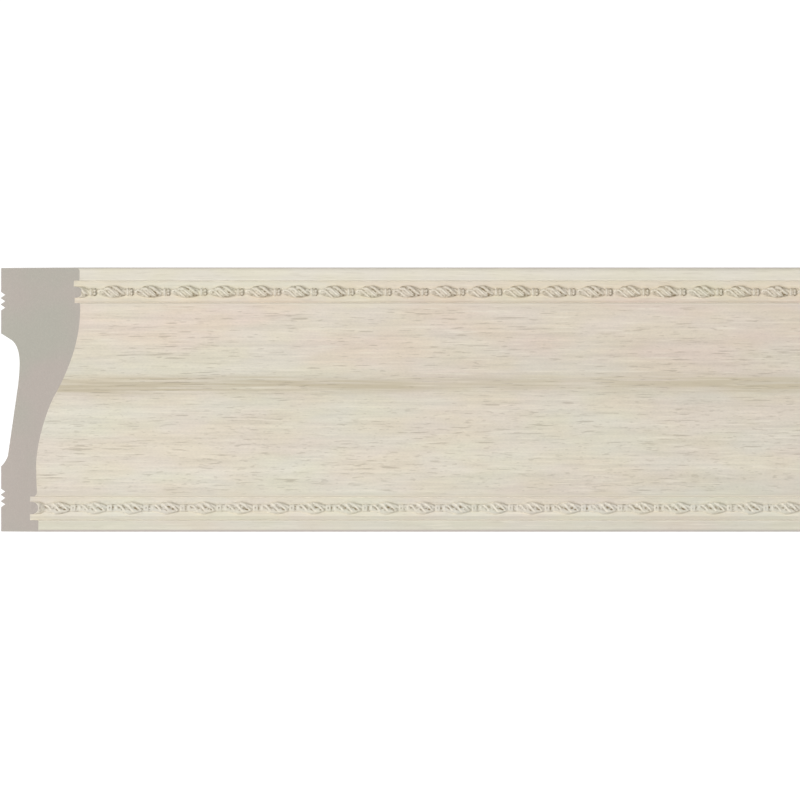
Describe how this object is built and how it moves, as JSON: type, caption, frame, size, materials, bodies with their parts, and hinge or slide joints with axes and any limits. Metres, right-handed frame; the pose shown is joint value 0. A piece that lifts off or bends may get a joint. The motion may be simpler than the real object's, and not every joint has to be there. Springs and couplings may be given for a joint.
{
  "type": "ceiling coving",
  "caption": "Long ceiling coving with an ogee face between two bead-and-twist astragals, a hollow grooved back, one mitred end and one square end.",
  "frame": {"origin": "middle of the underside, where the coving lies on its flat back", "axes": "+X along the length towards the square end, +Y towards the edge that meets the ceiling, +Z out of the wall side through the decorated face"},
  "size_m": [2, 0.095, 0.03],
  "materials": {
    "coving": "pale beige woodgrain on the face, bare warm-grey foam on the long edges, the back and the cut ends"
  },
  "bodies": {
    "root": {"coving": "coving"}
  },
  "joints": []
}
